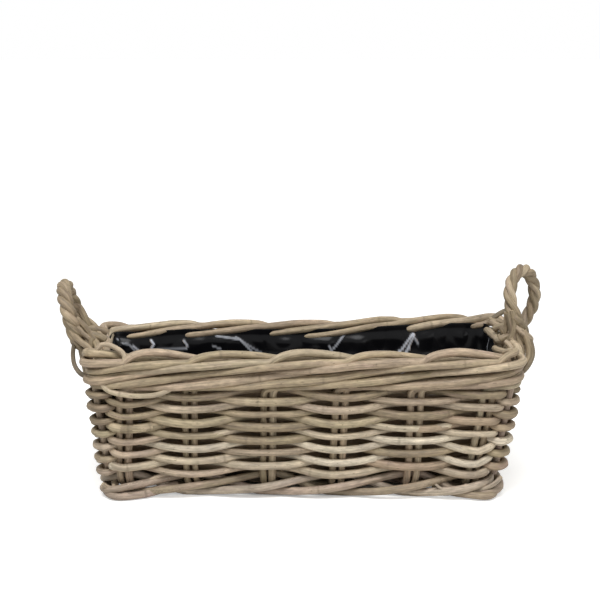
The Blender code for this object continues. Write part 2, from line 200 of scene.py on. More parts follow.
def wallPoint(run, z, out, aside=0):
    # run goes round the wall counter-clockwise from the front's left end, out is outward
    side = sideOf(run)
    along, outward = sides[side]
    run = run % wayRound - sideStarts[side]
    ahead, across = straightHalf(side, z), straightHalf(side + 1, z)
    radius = basket["cornerRadius"]
    if run <= sideRuns[side]:
        share = 2 * run / sideRuns[side] - 1
        flat = along * (ahead * share + aside) + outward * (across + radius + out)
    else:
        turn = (run - sideRuns[side]) / radius
        flat = along * ahead + outward * across
        flat = flat + (outward * cos(turn) + along * sin(turn)) * (radius + out)
    return flat + up * z


def settled(point):
    # the finished place, with the real basket's unevenness and the shift to the model's origin
    x, y, z = point
    share = limit(-x / halfLength(z), 0, 1.1)
    out = uneven["leftFlare"] * limit(1 - z / uneven["flareHeight"]) * share * share
    reach = fade(y, *uneven["reachY"]) * fade(z, *uneven["reachLow"]) * fade(z, *uneven["reachHigh"])
    out += uneven["rearLeftReach"] * share ** 3 * reach
    rise = uneven["rearRise"] * fade(x, *uneven["riseX"]) - uneven["rearDip"] * fade(x, *uneven["dipX"])
    rise *= fade(z, *uneven["riseZ"])
    rise += uneven["rearFlat"] * (uneven["flatLevel"] - z) * fade(z, *uneven["flatZ"])
    return Vector((x - out + basket["shift"], y, z + rise * fade(y, *uneven["rearY"])))


def findPairs():
    found = []
    margin = basket["cornerSpacing"] - cornerArc / 2
    for side, count in enumerate((basket["longSidePairs"], basket["endPairs"]) * 2):
        span = sideRuns[side] - 2 * margin
        found += [sideStarts[side] + margin + span * k / (count - 1) for k in range(count)]
    return found


pairs = findPairs()


def pairRun(pair, z):
    # the pair's place on the wall at this height; the front ones drift as they rise
    turns, pair = divmod(pair, len(pairs))
    run = pairs[pair] + wayRound * turns
    if pair >= basket["longSidePairs"]:
        return run
    share = (z - uneven["leanLow"]) / (uneven["leanHigh"] - uneven["leanLow"])
    drift = between(*uneven["frontDrifts"][pair], limit(share, 0, 1.2))
    return run + drift * sideRuns[0] / (2 * straightHalf(0, z))


def pairPoint(pair, z, out, aside=0):
    return wallPoint(pairRun(pair, z), z, out, aside)


camera = {
    "place": (-0.0011, -1.540, 0.509),
    "tilt": radians(90 - 10.73),
    "lens": 79.4,
    "sensor": 36.0,
    "pixels": 600,
}


def seenAt(pixel, y):
    # where the ray of a pixel of the photograph meets the upright plane at y, before the point is settled
    focal = camera["lens"] / camera["sensor"] * camera["pixels"]
    low = pi / 2 - camera["tilt"]
    aside = (pixel[0] - camera["pixels"] / 2) / focal
    rise = (camera["pixels"] / 2 - pixel[1]) / focal
    ray = Vector((aside, cos(low) + rise * sin(low), rise * cos(low) - sin(low)))
    point = Vector(camera["place"]) + ray * ((y - camera["place"][1]) / ray.y)
    return point * 2 - settled(point)


def rodSeenAt(pixels, depths, radius, tint):
    # a loose rod along pixels of the photograph, from one depth to the other, never lower than the floor
    spots = [seenAt(p, between(*depths, k / (len(pixels) - 1))) for k, p in enumerate(pixels)]
    points = smoothLine(spots, 8 * len(pixels))
    return [Vector((p.x, p.y, max(p.z, radius * 1.3))) for p in points], radius, tint


rattan = {
    "ringSpacing": 0.30,  # between two joints of the cane
    "rodRadius": 0.0042,  # what the grain is scaled to
    # each grain's width across the cane and length along it in metres, its detail and a key of its own
    "grains": {
        "patch": (0.012, 0.055, 3.0, 5.0),
        "fibre": (0.0014, 0.040, 2.0, 11.0),  # real ones are 0.5 mm wide, drawn coarser so that they show
        "stain": (0.0030, 0.009, 2.0, 17.0),
        "broad": (0.03, 0.11, 1.0, 23.0),
        "speck": (0.0020, 0.006, 2.0, 41.0),
    },
    # what a grain's values from the first to the second are turned into
    "ranges": {
        "fibreShade": ("fibre", 0.3, 0.7, 0.60, 1.22),
        "stainShade": ("stain", 0.3, 0.7, 0.70, 1.14),
        "broadShade": ("broad", 0.3, 0.7, 0.82, 1.12),
        "scar": ("ragged", 0.0008, 0.0030, 0.55, 0.0),
        "scarPart": ("stain", 0.35, 0.6, 0.25, 1.0),
        "specks": ("speck", 0.63, 0.71, 0.0, 0.6),
        "roughness": ("patch", 0.3, 0.7, 0.52, 0.72),
    },
    "raggedness": 0.0014,
    "patches": ("#927f70", "#a38e78", "#b2a286", "#9b8f70", "#a89284"),
    "patchRange": (0.34, 0.66),
    "patchShare": 0.30,
    "scarColour": "#4a3b2b",
    "speckColour": "#51432f",
    "pithColour": "#a8977c",
    "scarDepth": -0.6,
    "bump": 0.45,
    "bumpDepth": 0.0007,
    # from the darkest canes of each part to the palest
    "tints": {
        "Weaver": ("#84735c", "#a09073", "#a58d78", "#b0a283", "#ab9880", "#b7a38e", "#c8baa2", "#dfd3be"),
        "Border": ("#94836a", "#a69577", "#ae9780", "#b3a281", "#b39c86", "#beae91", "#cdbfa6"),
        "Stake": ("#9c8676", "#a58f84", "#ab9782", "#b29c90"),
        "Foot": ("#8f806c", "#a08f78", "#a89488", "#b09e87", "#bfb0a0"),
        # the first handle tint is painted shade: darkened for the low loop of the left handle, which lies in
        # shadow; any handle cane with a tint near 0 takes it
        "Handle": ("#51463a", "#86755c", "#96856a", "#a39076", "#ab9a80", "#b7a58c"),
    },
}


# Metres to the cane's nearest joint. The rods' tree and their material both use it, so that the swelling and
# the dark scar meet. The odd factors only mix the strand's mark.
def ringDistance(add, along, strand):
    turns = add("Math", along, 1 / rattan["ringSpacing"], operation="MULTIPLY")
    moved = add("Math", strand, 7.3, turns, operation="MULTIPLY_ADD")
    cell = add("Math", moved, operation="FLOOR")
    key = add("Math", strand, 31.7, cell, operation="MULTIPLY_ADD")
    place = add("TexWhiteNoise", {"W": key}, noise_dimensions="1D")
    inside = add("Math", place, 0.7, 0.15, operation="MULTIPLY_ADD")
    part = add("Math", moved, operation="FRACT")
    gap = add("Math", part, inside, operation="SUBTRACT")
    away = add("Math", gap, operation="ABSOLUTE")
    return add("Math", away, rattan["ringSpacing"], operation="MULTIPLY")


# Weathered grey rattan cane, the skin left on and mud-bleached: a matt, slightly waxy surface with long
# fibres, grey and greenish patches, dark joint scars and black specks.
def rattanMaterial(name, tints):
    material, shader, add = newMaterial(name)
    names = ("along", "strand", "tint", "cut", "around")
    along, strand, tint, cut, around = [add("Attribute", attribute_name=n).outputs for n in names]
    length = add("CombineXYZ", {"Z": along["Fac"]})
    girth = (rattan["rodRadius"], rattan["rodRadius"], 0)
    place = add("VectorMath", around["Vector"], girth, length, operation="MULTIPLY_ADD")
    strandKey = add("Math", strand["Fac"], 97.0, operation="MULTIPLY")
    grains = {}
    for grain, (width, span, detail, key) in rattan["grains"].items():
        size = add("VectorMath", place, (1 / width, 1 / width, 1 / span), operation="MULTIPLY")
        inputs = {"Vector": size, "W": add("Math", strandKey, key, operation="ADD"), "Scale": 1.0}
        inputs.update({"Detail": detail, "Roughness": 0.6})
        grains[grain] = add("TexNoise", inputs, noise_dimensions="4D").outputs[0]
    away = ringDistance(add, along["Fac"], strand["Fac"])
    grains["ragged"] = add("Math", grains["fibre"], rattan["raggedness"], away, operation="MULTIPLY_ADD")
    ranged = {}
    for key, (grain, *ends) in rattan["ranges"].items():
        inputs = dict(zip(("From Min", "From Max", "To Min", "To Max"), ends))
        ranged[key] = add("MapRange", {"Value": grains[grain], **inputs})
    ramps = []
    scales = (tint["Fac"], tints, 0, 1), (grains["patch"], rattan["patches"], *rattan["patchRange"])
    for factor, colours, low, high in scales:
        ramps.append(add("ValToRGB", {"Fac": factor}))
        stops = ramps[-1].color_ramp.elements
        while len(stops) < len(colours):
            stops.new(0.5)
        for k, text in enumerate(colours):
            stops[k].position = between(low, high, k / (len(colours) - 1))
            stops[k].color = linear(text)
    body, patches = ramps
    scar = add("Math", ranged["scar"], ranged["scarPart"], operation="MULTIPLY")
    for share, colour, way in (
        (rattan["patchShare"], patches, "MIX"),
        (1.0, ranged["fibreShade"], "MULTIPLY"),
        (1.0, ranged["stainShade"], "MULTIPLY"),
        (1.0, ranged["broadShade"], "MULTIPLY"),
        (scar, linear(rattan["scarColour"]), "MIX"),
        (ranged["specks"], linear(rattan["speckColour"]), "MIX"),
        (cut["Fac"], linear(rattan["pithColour"]), "MIX"),
    ):
        inputs = {0: share, 6: body, 7: colour}
        body = add("Mix", inputs, data_type="RGBA", blend_type=way).outputs[2]
    height = add("Math", scar, rattan["scarDepth"], grains["fibre"], operation="MULTIPLY_ADD")
    bump = add("Bump", {"Height": height, "Strength": rattan["bump"], "Distance": rattan["bumpDepth"]})
    wire(shader, {"Base Color": body, "Roughness": ranged["roughness"], "IOR": 1.48, "Normal": bump})
    return material


canes = {part: rattanMaterial("weatheredRattan" + part, tints) for part, tints in rattan["tints"].items()}
print("rattan materials made")

rodSettings = {
    "Step": 0.0034,
    "Sides": 10,
    "Path wave": 0.0010,
    "Path scale": 14.0,
    "Width wave": 0.14,
    "Width scale": 17.0,
    "Joint swell": 0.07,
    "Seed": 3.0,
}


# Turns lines with the attributes thick, strand and tint into round, slightly crooked canes.
def rodTree():
    tree = bpy.data.node_groups.new("rattanRods", "GeometryNodeTree")
    add = partial(addNode, tree)
    kinds = {name: "Int" if isinstance(value, int) else "Float" for name, value in rodSettings.items()}
    for name, kind in {"Geometry": "Geometry", **kinds, "Material": "Material"}.items():
        tree.interface.new_socket(name, in_out="INPUT", socket_type="NodeSocket" + kind)
    tree.interface.new_socket("Geometry", in_out="OUTPUT", socket_type="NodeSocketGeometry")
    given = add("NodeGroupInput").outputs
    line = add("MeshToCurve", given["Geometry"])
    line = add("ResampleCurve", {"Curve": line, "Length": given["Step"]}, mode="LENGTH")
    along = add("SplineParameter").outputs["Length"]
    total = add("SplineLength").outputs["Length"]
    strand, thick = [add("InputNamedAttribute", {"Name": n}, data_type="FLOAT") for n in ("strand", "thick")]
    place = add("InputPosition")
    inputs = {"Geometry": line, "Name": "along", "Value": along}
    line = add("StoreNamedAttribute", inputs, data_type="FLOAT", domain="POINT")
    key = add("Math", strand, 61.0, given["Seed"], operation="MULTIPLY_ADD")
    inputs = {"Vector": place, "W": key, "Scale": given["Path scale"], "Detail": 1.0}
    sway = add("TexNoise", inputs, noise_dimensions="4D").outputs["Color"]
    sway = add("VectorMath", sway, (0.5, 0.5, 0.5), operation="SUBTRACT")
    reach = add("Math", given["Path wave"], 4.0, operation="MULTIPLY")
    sway = add("VectorMath", {0: sway, "Scale": reach}, operation="SCALE")
    line = add("SetPosition", {"Geometry": line, "Offset": sway})  # crooked path
    key = add("Math", key, 9.0, operation="ADD")
    inputs = {"Vector": place, "W": key, "Scale": given["Width scale"], "Detail": 1.0}
    width = add("TexNoise", inputs, noise_dimensions="4D").outputs[0]
    width = add("Math", width, 0.5, operation="SUBTRACT")
    width = add("Math", width, given["Width wave"], operation="MULTIPLY")
    width = add("Math", width, 2.0, 1.0, operation="MULTIPLY_ADD")  # uneven thickness
    away = ringDistance(add, along, strand)
    inputs = {"Value": away, "From Max": 0.007, "To Min": 1.0, "To Max": 0.0}
    swell = add("MapRange", inputs, interpolation_type="SMOOTHSTEP")
    width = add("Math", swell, given["Joint swell"], width, operation="MULTIPLY_ADD")
    left = add("Math", total, along, operation="SUBTRACT")
    nearEnd = add("Math", along, left, operation="MINIMUM")
    rounded = add("MapRange", {"Value": nearEnd, "From Max": 0.002, "To Min": 0.84})
    for factor in (rounded, thick):
        width = add("Math", width, factor, operation="MULTIPLY")
    ring = add("CurvePrimitiveCircle", {"Resolution": given["Sides"], "Radius": 1.0}, mode="RADIUS")
    inputs = {"Geometry": ring, "Name": "around", "Value": place}
    ring = add("StoreNamedAttribute", inputs, data_type="FLOAT_VECTOR", domain="POINT")
    tube = add("CurveToMesh", {"Curve": line, "Profile Curve": ring, "Scale": width, "Fill Caps": True})
    corners = add("InputMeshFaceNeighbors").outputs["Vertex Count"]
    isEnd = add("Math", corners, 4.5, operation="GREATER_THAN")
    inputs = {"Geometry": tube, "Name": "cut", "Value": isEnd}
    tube = add("StoreNamedAttribute", inputs, data_type="FLOAT", domain="FACE")
    tube = add("SetShadeSmooth", {"Geometry": tube, "Shade Smooth": True})
    tube = add("RealizeInstances", {"Geometry": tube})
    tube = add("SetMaterial", {"Geometry": tube, "Material": given["Material"]})
    add("NodeGroupOutput", tube)
    return tree


rods = rodTree()


# One piece from its rods: each is a list of points, a radius or one radius for each point, and if need be a
# tint from 0, dark, to 1, pale. The piece replaces the CAD nodes whose names start like this.
def makeRods(name, paths, part, slotName, nodeStart, **changes):
    points, edges, thick, strand, tints = [], [], [], [], []
    for path, radius, *given in paths:
        mark = draw.random()
        tint = given[0] if given else draw.random()
        edges += [(k, k + 1) for k in range(len(points), len(points) + len(path) - 1)]
        points += [settled(p) for p in path]
        thick += radius if isinstance(radius, list) else [radius] * len(path)
        strand += [mark] * len(path)
        tints += [tint] * len(path)
    mesh = bpy.data.meshes.new(name + "Paths")
    mesh.from_pydata(points, edges, [])
    for key, values in (("thick", thick), ("strand", strand), ("tint", tints)):
        mesh.attributes.new(key, "FLOAT", "POINT").data.foreach_set("value", values)
    guide = addObject(name + "Paths", mesh)
    modifier = guide.modifiers.new("rods", "NODES")
    modifier.node_group = rods
    values = {**rodSettings, "Material": canes[part], **changes}
    for item in rods.interface.items_tree:
        if item.in_out == "INPUT" and item.name in values:
            modifier[item.identifier] = values[item.name]
    graph = bpy.context.evaluated_depsgraph_get()
    evaluated = guide.evaluated_get(graph)
    made = bpy.data.meshes.new_from_object(evaluated, preserve_all_data_layers=True, depsgraph=graph)
    made.name = name
    made.set_sharp_from_angle(angle=radians(60))
    bpy.data.objects.remove(guide, do_unlink=True)
    piece = addObject(name, made)
    nodes = sorted(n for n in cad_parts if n.startswith(nodeStart))
    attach(piece, "root")
    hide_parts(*nodes)
    made.calc_loop_triangles()
    print(name, len(made.loop_triangles), "triangles")


# The arc that turns from one straight run to the next.
def bend(start, corner, end, radius, steps=8):
    back, ahead = (start - corner).normalized(), (end - corner).normalized()
    angle = back.angle(ahead)
    reach = radius / tan(angle / 2)
    middle = corner + (back + ahead).normalized() * (radius / sin(angle / 2))
    first, last = corner + back * reach - middle, corner + ahead * reach - middle
    sweep = pi - angle
    points = []
    for k in range(steps + 1):
        share = k / steps
        mix = first * sin(sweep * (1 - share)) + last * sin(sweep * share)
        points.append(middle + mix / sin(sweep))
    return points


# Both stakes of a pair are bent over: the first goes on over the rolled edge, the second ends tucked in under
# it. Places are by how many pairs a strand has passed since its own.
border = {
    "radius": 0.0044,
    "stakeRadius": 0.0041,
    "stakeSpread": (0.9, 1.08),
    "stakeFeet": (0.09, 0.06, 0.04),
    "postHeights": (0.026, 0.08, 0.134),
    "radiusSpread": 0.10,
    "rollShare": 1.15,
    "rollPower": 0.62,  # below 1 the strand climbs the edge early
    "rollWidth": 0.0070,
    "rollRise": 0.0095,
    "tailShare": 1.0,
    "tailSpread": (-0.25, 0.3),
    "tailDrop": 0.0065,
    "tailIn": 0.0042,
    "tailWave": 0.0008,
    "looseness": 0.0012,
    "phaseSpread": 0.16,
    "bendRadius": 0.009,
    "steps": 22,  # to each spacing of the pairs
    "first": {
        "half": basket["pairHalf"],
        "top": 4,  # it reaches the rolled edge here
        "heights": ((0, 0.1322), (1, 0.1400), (2, 0.1492), (3, 0.1600), (3.5, 0.1630), (4, 0.1640)),
        "outs": (
            (0, 0.0), (0.5, 0.0012), (1.0, 0.0042), (1.5, 0.0058), (2.0, 0.0046),
            (2.4, 0.0064), (2.8, 0.0094), (3.2, 0.0098), (3.6, 0.0080), (4.0, 0.0068),
        ),
        "widths": (
            (0, 0.80), (0.5, 0.72), (1.0, 0.92), (1.6, 0.98), (2.1, 0.80), (2.4, 0.86), (2.8, 1.02),
            (3.4, 1.04), (4.0, 0.98), (4.5, 1.06), (5.1, 1.04), (5.7, 1.0), (6.4, 0.95),
        ),
    },
    "second": {
        "half": -basket["pairHalf"],
        "top": 3.1,
        "heights": ((0, 0.1308), (0.6, 0.1345), (1.2, 0.1392), (2, 0.1462), (2.6, 0.1530), (3.1, 0.1575)),
        "outs": (
            (0, 0.0), (0.4, 0.0040), (0.8, 0.0082), (1.5, 0.0092), (2.0, 0.0072), (2.5, 0.0045), (3.1, 0.001),
        ),
        "widths": ((0, 0.80), (0.4, 0.62), (0.85, 1.0), (1.6, 1.05), (2.1, 0.9), (2.6, 0.74), (3.1, 0.6)),
    },
}
hook = {
    # a loose strand that hangs under the left end, in pixels of the photograph
    "pixels": (
        (100, 380), (104, 386), (110, 391), (121, 394), (137, 396), (154, 395), (166, 391), (177, 386),
    ),
    "level": 0.135,
    "out": 0.0095,
    "firstIn": 0.012,
    "lastIn": 0.006,
    "radius": 0.0030,
    "tint": 0.9,
}


# Out of the wall, up its outside, over the top and down the inside.
def borderPoint(pair, phase, loose, strand):
    first, second, turnOn, third = loose
    top = strand["top"]
    whole = floor(phase)
    low, high = [pairRun(pair + step, basket["rollHeight"]) for step in (whole, whole + 1)]
    run = between(low, high, phase - whole) + strand["half"]
    if phase <= top:
        swell = sin(pi * phase / top)
        moved = limit(phase + first * swell, 0, top)
        out = follow(strand["outs"], moved) + second * sin(phase * 2.1 + turnOn) * swell
        return wallPoint(run, follow(strand["heights"], phase) + third * swell, out)
    roll = (phase - top) / border["rollShare"]
    if roll <= 1:
        turn = pi * roll ** border["rollPower"]
        z = basket["rollHeight"] + (border["rollRise"] + second) * sin(turn)
        return wallPoint(run, z, border["rollWidth"] * cos(turn))
    down = (roll - 1) * border["rollShare"] / border["tailShare"]
    z = basket["rollHeight"] - border["tailDrop"] * down
    inward = border["rollWidth"] + border["tailIn"] * smooth(down * 2)
    return wallPoint(run, z, border["tailWave"] * sin(down * 4 + turnOn) - inward)


def borderStrand(pair, strand):
    end = strand["top"]
    if strand is border["first"]:
        end = end + border["rollShare"] + border["tailShare"] + draw.uniform(*border["tailSpread"])
    loose = (
        draw.uniform(-1, 1) * border["phaseSpread"],
        draw.uniform(-1, 1) * border["looseness"],
        draw.uniform(0, 6.3),
        draw.uniform(-1, 1) * border["looseness"],
    )
    count = int(end * border["steps"])
    phases = [end * k / count for k in range(2, count + 1)]
    radius = border["radius"] * (1 + draw.uniform(-1, 1) * border["radiusSpread"])
    widths = []
    for phase in phases:
        tip = smooth(0.55 + (end - phase) / 0.16)  # the end is cut to a slant
        widths.append(radius * follow(strand["widths"], phase) * tip)
    return [borderPoint(pair, phase, loose, strand) for phase in phases], widths


# A stake from the foot of the wall up, bent over into the border.
def risingRod(pair, strand):
    radius = border["stakeRadius"] * draw.uniform(*border["stakeSpread"])
    line, widths = borderStrand(pair, strand)
    corner = pairPoint(pair, strand["heights"][0][1], 0, strand["half"])
    feet = [pairPoint(pair, z, 0, strand["half"]) for z in border["stakeFeet"]]
    first = next(k for k, p in enumerate(line) if (p - corner).length > border["bendRadius"] * 1.4)
    turned = bend(feet[0], corner, line[first], border["bendRadius"] * 0.8)
    points = (turned + line[first:])[::-1] + feet
    return points, (([radius] * len(turned) + widths[first:])[::-1] + [radius] * len(feet))


base = {
    "bend": 0.016,  # of a stake from the wall to under the floor
    "over": 0.0071,  # how far a long rod goes over and under the cross rods
    "flatHalf": 0.009,  # half the straight stretch at each crossing
    "slopes": (0.2, 0.35, 0.5, 0.65, 0.8),
    "fillersPerBay": 3,
    "fillerOver": 0.0066,
    "fillerRadius": 0.0034,
    "fillerClear": 0.0094,  # from the middle of a pair to the fillers' bay
}


# Up one wall, under the floor and up the opposite wall.
def stakeRod(ends, strands, across):
    feet = [pairPoint(p, basket["baseHeight"], 0, s["half"]) for p, s in zip(ends, strands)]
    walls = [risingRod(p, s) for p, s in zip(ends, strands)]
    inward = [across[0] if across else feet[1], across[-1] if across else feet[0]]
    bends = [
        bend(wall[0][-1], foot, Vector((near.x, near.y, foot.z)), base["bend"])
        for wall, foot, near in zip(walls, feet, inward)
    ]
    points = walls[0][0] + bends[0] + across + bends[1][::-1] + walls[1][0][::-1]
    ends = walls[0][1], walls[1][1][::-1]
    middle = [(ends[0][-1] + ends[1][0]) / 2] * (len(points) - len(ends[0]) - len(ends[1]))
    return points, ends[0] + middle + ends[1]


def rearOf(pair):
    return 2 * basket["longSidePairs"] + basket["endPairs"] - 1 - pair


# The way of a long rod over and under the cross rods.
def crossingPoints(y, firstSign, over):
    places = []
    level, flat = basket["baseHeight"], base["flatHalf"]
    for k in range(basket["longSidePairs"]):
        front, rear = [pairPoint(p, level, 0).x for p in (k, rearOf(k))]
        places.append(between(front, rear, 0.5 + y / (2 * halfWidth(level))))
    points = []
    for k, (x, following) in enumerate(zip(places, places[1:] + [None])):
        sign = firstSign * (-1) ** k
        points += [Vector((x + s, y, level + over * sign)) for s in (-flat, 0, flat)]
        if following is not None:
            for part in base["slopes"]:
                z = level + over * sign * cos(pi * part)
                points.append(Vector((between(x + flat, following - flat, part), y, z)))
    return points


def stakePaths():
    cross, long = [], []
    orders = (border["first"], border["second"]), (border["second"], border["first"])
    for k in range(basket["longSidePairs"]):
        cross += [stakeRod([k, rearOf(k)], order, []) for order in orders]
    for k in range(basket["endPairs"]):
        right, left = basket["longSidePairs"] + k, len(pairs) - 1 - k
        for order in orders:
            y = pairPoint(right, basket["baseHeight"], 0, order[0]["half"]).y
            across = crossingPoints(y, (-1) ** k, base["over"])
            long.append(stakeRod([left, right], order[::-1], across))
    return cross, long


def hookPath():
    points = [seenAt(p, -halfWidth(hook["level"]) - hook["out"]) for p in hook["pixels"]]
    points[0].y += hook["firstIn"]
    points[-1].y += hook["lastIn"]
    return smoothLine(points, 40), hook["radius"], hook["tint"]


crossPaths, longPaths = stakePaths()
crossPaths.append(hookPath())
posts = [[wallPoint(run, z, basket["postOut"]) for z in border["postHeights"]] for run in cornerRuns]
postPaths = [(points, border["stakeRadius"]) for points in posts]
makeRods("crossStakes", crossPaths, "Border", "stake_rattan", "cross_rod")
makeRods("longStakes", longPaths, "Border", "stake_rattan", "long_rod")
makeRods("cornerStakes", postPaths, "Stake", "stake_rattan", "corner_post")
print("stakes and border made")

weave = {
    "rows": 13,
    "low": 0.0323,  # height of the lowest course
    "pitch": 0.00785,
    "outside": 0.0074,
    "inside": 0.0086,
    "outerShoulder": 0.017,  # how far past a pair a course stays outside before it turns in
    "innerShoulder": 0.006,
    "cornerShoulder": 0.0045,
    "shoulderShare": 0.6,  # the most of the room between two pairs that the shoulders take up
    "sag": 0.0020,  # how far a course dips where it passes outside
    "frontSags": (0.0035, 0.0035, 0.0002, 0.0045, 0.0020, 0.0015),
    "sagSpread": 0.0009,
    "looseSags": {(4, 5): 0.0045, (2, 5): 0.0050, (0, 5): 0.0025},  # by course and front pair
    "radius": 0.0045,
    "radiusSpread": 0.15,
    "thinShare": 0.84,  # of the radius, where a course is squeezed behind the stakes
    "caneLow": 0.24,  # shortest and longest cane in a course
    "caneHigh": 0.56,
    "tuck": 0.012,
    "cutOver": 0.030,  # how far a cane cut outside lies over the next one
    "stagger": 0.05,  # from one course's first cane to the next one's
    "pointStep": 0.004,
    "paleLow": 0.17,  # the lowest courses are the most bleached
    # courses whose cane ends outside: course, front pair, how far past it, tint of the cane
    "cuts": (
        (6, 1, 0.041, 0.45), (7, 0, 0.036, 0.4), (7, 4, 0.045, 0.85), (11, 2, 0.049, 0.5),
        (4, 5, 0.021, 0.95), (2, 5, 0.019, 1.0), (0, 5, 0.016, 0.8), (3, 3, 0.040, 0.7),
    ),
}


def rowLevel(row):
    return weave["low"] + weave["pitch"] * row


def stationsAt(z):
    found = []
    for side in range(4):
        found += [(pairRun(k, z), k) for k in range(len(pairs)) if sideOf(pairs[k]) == side]
        found.append((cornerRuns[side], None))
    return found


def dipAt(row, pair):
    sag = weave["frontSags"][pair] if pair is not None and pair < basket["longSidePairs"] else weave["sag"]
    wander = noise(Vector((row * 3.7, (pair or 0) * 5.1, 2.3))) * 2 * weave["sagSpread"]
    return sag + wander + weave["looseSags"].get((row, pair), 0)


# Where a course is at this run: outside one pair of stakes and inside the next.
def rowPoint(row, run, stations):
    count = len(stations)
    run %= wayRound
    after = next((k for k in range(count) if stations[k][0] > run), 0)
    before = (after - 1) % count
    low, high = stations[before][0], stations[after][0]
    high += wayRound if high < low else 0
    run += wayRound if run < low else 0
    isOutside = [(k + row) % 2 == 1 for k in (before, after)]
    margins = []
    for k, outside in zip((before, after), isOutside):
        shoulder = weave["outerShoulder"] if outside else weave["innerShoulder"]
        margins.append(weave["cornerShoulder"] if stations[k][1] is None else shoulder)
    room = high - low
    spare = min(1, weave["shoulderShare"] * room / sum(margins))
    share = limit((run - low - margins[0] * spare) / (room - sum(margins) * spare))
    outward, hung = [(1 + cos(pi * part)) / 2 for part in (share, limit((run - low) / room))]
    if not isOutside[0]:
        outward, hung = 1 - outward, 1 - hung
    dip = dipAt(row, stations[before if isOutside[0] else after][1])
    z = rowLevel(row) - dip * (1.33 * hung * hung - 0.33)  # lowest in the middle of the outside
    corner = min(abs((run - c + wayRound / 2) % wayRound - wayRound / 2) for c in cornerRuns)
    past = basket["postOut"] * smooth(1.6 - corner / basket["cornerRadius"])
    point = wallPoint(run, z, between(-weave["inside"], weave["outside"], outward) + past)
    return point, between(weave["thinShare"], 1, outward)


def rowPaths():
    found = []
    start = pairs[basket["longSidePairs"] + basket["endPairs"] + 1]
    for row in range(weave["rows"]):
        stations = stationsAt(rowLevel(row))
        ends = {}
        for cutRow, pair, past, tint in weave["cuts"]:
            if cutRow == row:
                ends[pairRun(pair, rowLevel(row)) + past + wayRound] = tint
        hidden = [s + turn * wayRound for turn in (0, 1, 2) for s, _ in stations[row % 2::2]]
        at = min(hidden, key=lambda s: abs(s - start - weave["stagger"] * (row % 5)))
        finish = at + wayRound
        while at < finish - 0.02:
            # a cane ends behind a stake, or outside where the list says so
            reach = at + draw.uniform(weave["caneLow"], weave["caneHigh"])
            stops = [s for s in hidden if at + 0.1 < s <= reach]
            following = min(stops[-1] if stops else reach, finish)
            if finish - following < weave["caneLow"] / 2:
                following = finish
            shown = sorted(e for e in ends if at + 0.02 < e <= following + 0.1)
            last, tint = following + weave["tuck"], draw.random()
            tint = limit(tint + weave["paleLow"] * (1 - row / 5))
            if shown:
                last, tint = shown[0], ends[shown[0]]
                following = last - weave["cutOver"]
            first = at - weave["tuck"]
            count = int((last - first) / weave["pointStep"])
            line = [rowPoint(row, between(first, last, k / count), stations) for k in range(count + 1)]
            radius = weave["radius"] * (1 + draw.uniform(-1, 1) * weave["radiusSpread"])
            found.append(([point for point, _ in line], [radius * width for _, width in line], tint))
            ends = {e: t for e, t in ends.items() if e > last}
            at = following
    return found


makeRods("sideWeave", rowPaths(), "Weaver", "weaver_rattan", "weaver_row", Step=0.0036)
print("side weave made")

foot = {
    "radius": 0.0046,
    "radiusSpread": (0.95, 1.05),
    "level": 0.012,
    "heights": (0.0252, 0.0044, 0.0142),  # behind a pair, then outside the next two
    "outs": (-0.0082, -0.0020, 0.0082),
    "swells": (0.55, 1.0, 0.9),
    "bulge": 0.0045,
    "lowest": 0.0053,
    "waist": 0.88,
    "steps": 16,
    # how much further out the foot stands along the front, from its left end
    "reach": (
        (-0.23, 0.007), (-0.17, 0.003), (-0.10, 0.0), (0.0, 0.003),
        (0.10, 0.005), (0.17, 0.007), (0.23, 0.010),
    ),
    "reachY": (0, -0.05),
    "reachZ": (0.022, 0.010),
    # a rod laid round each front corner: X times the side, Y, Z
    "lobe": (
        (0.150, -0.068, 0.0090), (0.170, -0.079, 0.0062), (0.190, -0.0875, 0.0056),
        (0.2075, -0.0915, 0.0055), (0.2185, -0.082, 0.0057), (0.2245, -0.060, 0.0070),
        (0.2215, -0.034, 0.0106), (0.2100, -0.020, 0.0126),
    ),
    "lobeRadius": 0.0042,
    # loose ends at the corners, in pixels of the photograph, each with its depths, radius and tint
    "ends": (
        (((113, 484), (114, 491), (113, 499)), (-0.080, -0.087), 0.0027, 0.3),
        (((178, 484), (160, 488), (140, 493), (127, 496), (119, 498)), (-0.070, -0.090), 0.0040, 0.55),
        (
            ((103, 484), (109, 488), (120, 489), (140, 484), (160, 476), (172, 473)),
            (-0.086, -0.072), 0.0028, 0.8,
        ),
        (((465, 484), (466, 491), (466, 498)), (-0.082, -0.089), 0.0027, 0.45),
        (
            ((440, 494), (455, 492), (468, 491), (482, 489), (494, 484), (502, 477)),
            (-0.074, -0.089), 0.0027, 0.95,
        ),
        (((436, 484), (441, 488), (447, 491)), (-0.088, -0.088), 0.0015, 1.0),
    ),
}


